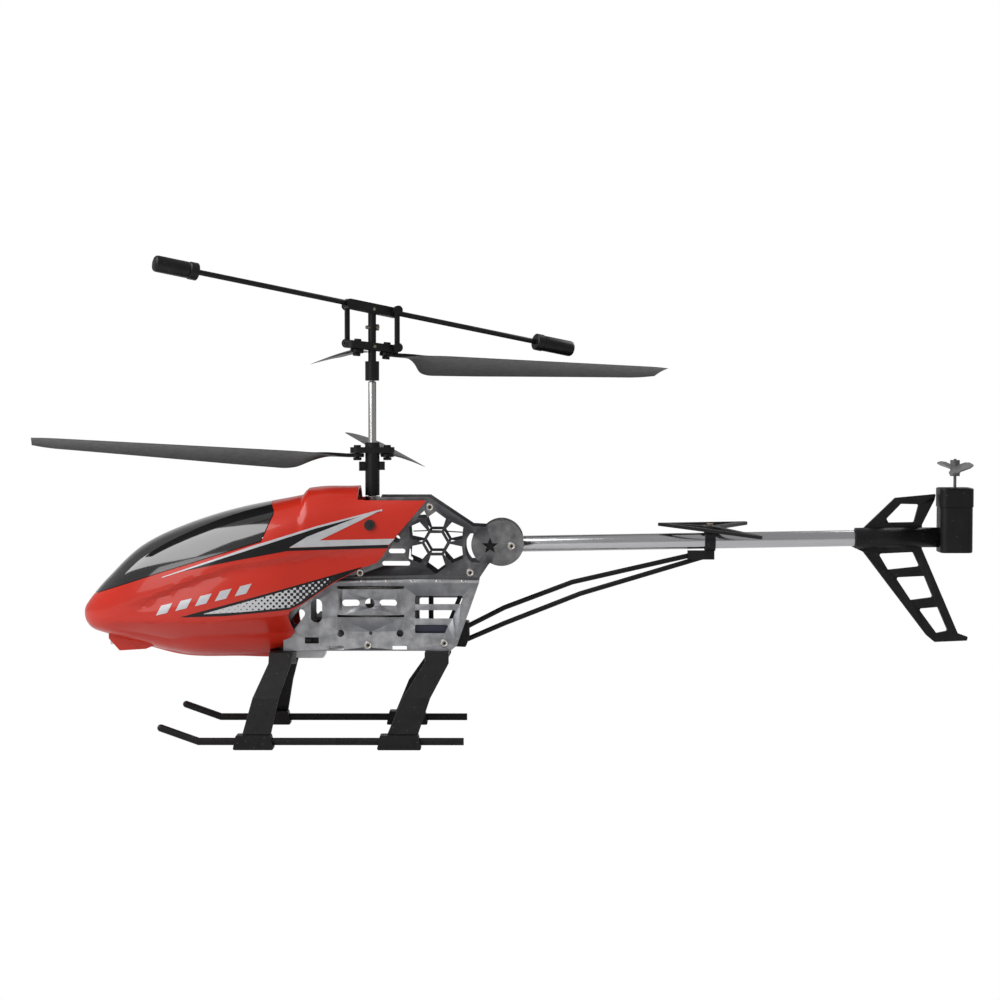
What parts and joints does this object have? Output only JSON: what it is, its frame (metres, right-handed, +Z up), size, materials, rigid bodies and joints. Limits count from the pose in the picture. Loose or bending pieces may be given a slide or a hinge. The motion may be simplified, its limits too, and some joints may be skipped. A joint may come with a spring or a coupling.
{
  "type": "remote control helicopter",
  "caption": "Coaxial twin-rotor toy helicopter with canopy, metal side frames, folding blades, flybar, tail boom with fin and tail rotor, and skid landing gear.",
  "frame": {"origin": "point of the main rotor axis at the height of the skid soles, on the centre plane", "axes": "+Z up along the mast, -X towards the nose, +X towards the tail, -Y to port"},
  "size_m": [0.4671, 0.2152, 0.2377],
  "materials": {
    "canopy_red": "glossy moulded shell",
    "screen_smoke": "smoked, high gloss",
    "frame_dark": "dark anodised plate",
    "frame_light": "brushed plate",
    "black_plastic": "satin moulded",
    "blade_plastic": "semi gloss",
    "steel": "ground",
    "screw_metal": "plated",
    "boom_aluminium": "bright drawn tube",
    "gear_plastic": "moulded",
    "weight_metal": "black",
    "motor_can": "plated can",
    "battery_wrap": "shrink sleeve",
    "board": "printed board",
    "rubber": "matte",
    "clear_plastic": "milky",
    "tail_grey": "satin"
  },
  "bodies": {
    "airframe": {"upper_side_frame_left": "frame_dark", "upper_side_frame_right": "frame_dark", "lower_side_frame_left": "frame_light", "lower_side_frame_right": "frame_light", "mid_deck": "frame_light", "frame_screws": "screw_metal", "frame_spacers": "black_plastic", "motor_plate": "black_plastic", "upper_bearing_block": "black_plastic", "shaft_bearings": "steel", "main_motors": "motor_can", "canopy": "canopy_red", "windscreen": "screen_smoke", "canopy_pegs": "rubber", "chin_scoop": "canopy_red", "nose_lamp": "clear_plastic", "battery_tray": "black_plastic", "battery": "battery_wrap", "circuit_board": "board", "switch_body": "black_plastic", "lead_socket": "clear_plastic", "tail_boom": "boom_aluminium", "boom_clamp": "black_plastic", "stabiliser": "black_plastic", "stabiliser_clamp": "black_plastic", "support_rods": "black_plastic", "rod_bracket": "black_plastic", "tail_fin": "black_plastic", "tail_motor_housing": "black_plastic", "tail_motor_cap": "black_plastic", "tail_motor": "motor_can", "struts_left": "black_plastic", "struts_right": "black_plastic", "crossbars": "black_plastic", "skid_shoes": "black_plastic", "skid_tubes": "black_plastic"},
    "lower_rotor": {"outer_shaft": "steel", "lower_rotor_gear": "gear_plastic", "lower_hub": "black_plastic", "lower_hub_screws": "screw_metal"},
    "lower_blade_left": {"lower_blade_left": "blade_plastic"},
    "lower_blade_right": {"lower_blade_right": "blade_plastic"},
    "upper_rotor": {"inner_shaft": "steel", "upper_rotor_gear": "gear_plastic", "mast_collar": "black_plastic", "head_post": "black_plastic", "head_pins": "screw_metal"},
    "upper_grip": {"upper_grip_bar": "black_plastic", "upper_grip_screws": "screw_metal"},
    "upper_blade_left": {"upper_blade_left": "blade_plastic"},
    "upper_blade_right": {"upper_blade_right": "blade_plastic"},
    "flybar": {"flybar_hub": "black_plastic", "flybar_rods": "steel", "flybar_weights": "weight_metal"},
    "link_left": {"link_left": "black_plastic"},
    "link_right": {"link_right": "black_plastic"},
    "left_pinion": {"left_pinion": "steel"},
    "right_pinion": {"right_pinion": "steel"},
    "tail_rotor": {"tail_rotor": "tail_grey"},
    "switch": {"switch_slider": "black_plastic"}
  },
  "joints": [
    {"name": "lower_rotor_spin", "type": "hinge", "parent": "airframe", "child": "lower_rotor", "pos_m": [0, 0, 0.142], "axis": [0, 0, 1], "continuous": true},
    {"name": "upper_rotor_spin", "type": "hinge", "parent": "airframe", "child": "upper_rotor", "pos_m": [0, 0, 0.19], "axis": [0, 0, 1], "continuous": true},
    {"name": "left_pinion_spin", "type": "hinge", "parent": "airframe", "child": "left_pinion", "pos_m": [-0.02, -0.00794, 0.063], "axis": [0, 0, 1], "continuous": true},
    {"name": "right_pinion_spin", "type": "hinge", "parent": "airframe", "child": "right_pinion", "pos_m": [-0.02, 0.00794, 0.075], "axis": [0, 0, 1], "continuous": true},
    {"name": "tail_rotor_spin", "type": "hinge", "parent": "airframe", "child": "tail_rotor", "pos_m": [0.2912, 0, 0.1348], "axis": [0, 0, 1], "continuous": true},
    {"name": "lower_left_fold", "type": "hinge", "parent": "lower_rotor", "child": "lower_blade_left", "pos_m": [-0.00743, -0.00104, 0.1412], "axis": [0, 0, 1], "range_deg": [-7, 93]},
    {"name": "lower_right_fold", "type": "hinge", "parent": "lower_rotor", "child": "lower_blade_right", "pos_m": [0.00743, 0.00104, 0.1412], "axis": [0, 0, 1], "range_deg": [-98, 2]},
    {"name": "flybar_teeter", "type": "hinge", "parent": "upper_rotor", "child": "flybar", "pos_m": [0, 0, 0.214], "axis": [-0.454, 0.891, 0], "range_deg": [-17, 4]},
    {"name": "grip_teeter", "type": "hinge", "parent": "upper_rotor", "child": "upper_grip", "pos_m": [0, 0, 0.1954], "axis": [-0.454, 0.891, 0], "range_deg": [-17, 4]},
    {"name": "link_left_swing", "type": "hinge", "parent": "flybar", "child": "link_left", "pos_m": [-0.00997, -0.00508, 0.21568], "axis": [-0.454, 0.891, 0], "range_deg": [-4, 17]},
    {"name": "link_right_swing", "type": "hinge", "parent": "flybar", "child": "link_right", "pos_m": [0.01007, 0.00513, 0.21351], "axis": [-0.454, 0.891, 0], "range_deg": [-4, 17]},
    {"name": "upper_left_fold", "type": "hinge", "parent": "upper_grip", "child": "upper_blade_left", "pos_m": [-0.00735, -0.00375, 0.19318], "axis": [0.0854, 0.0435, 0.9954], "range_deg": [-2, 120]},
    {"name": "upper_right_fold", "type": "hinge", "parent": "upper_grip", "child": "upper_blade_right", "pos_m": [0.00684, 0.00348, 0.19165], "axis": [0.0854, 0.0435, 0.9954], "range_deg": [-111, 7]},
    {"name": "switch_slide", "type": "slide", "parent": "airframe", "child": "switch", "axis": [1, 0, 0], "range_m": [0, 0.0035]}
  ],
  "couplings": [
    {"joint": "left_pinion_spin", "follows": "upper_rotor_spin", "ratio": -5.2941},
    {"joint": "right_pinion_spin", "follows": "lower_rotor_spin", "ratio": -5.2941},
    {"joint": "grip_teeter", "follows": "flybar_teeter", "ratio": 1},
    {"joint": "link_left_swing", "follows": "flybar_teeter", "ratio": -1},
    {"joint": "link_right_swing", "follows": "flybar_teeter", "ratio": -1}
  ]
}
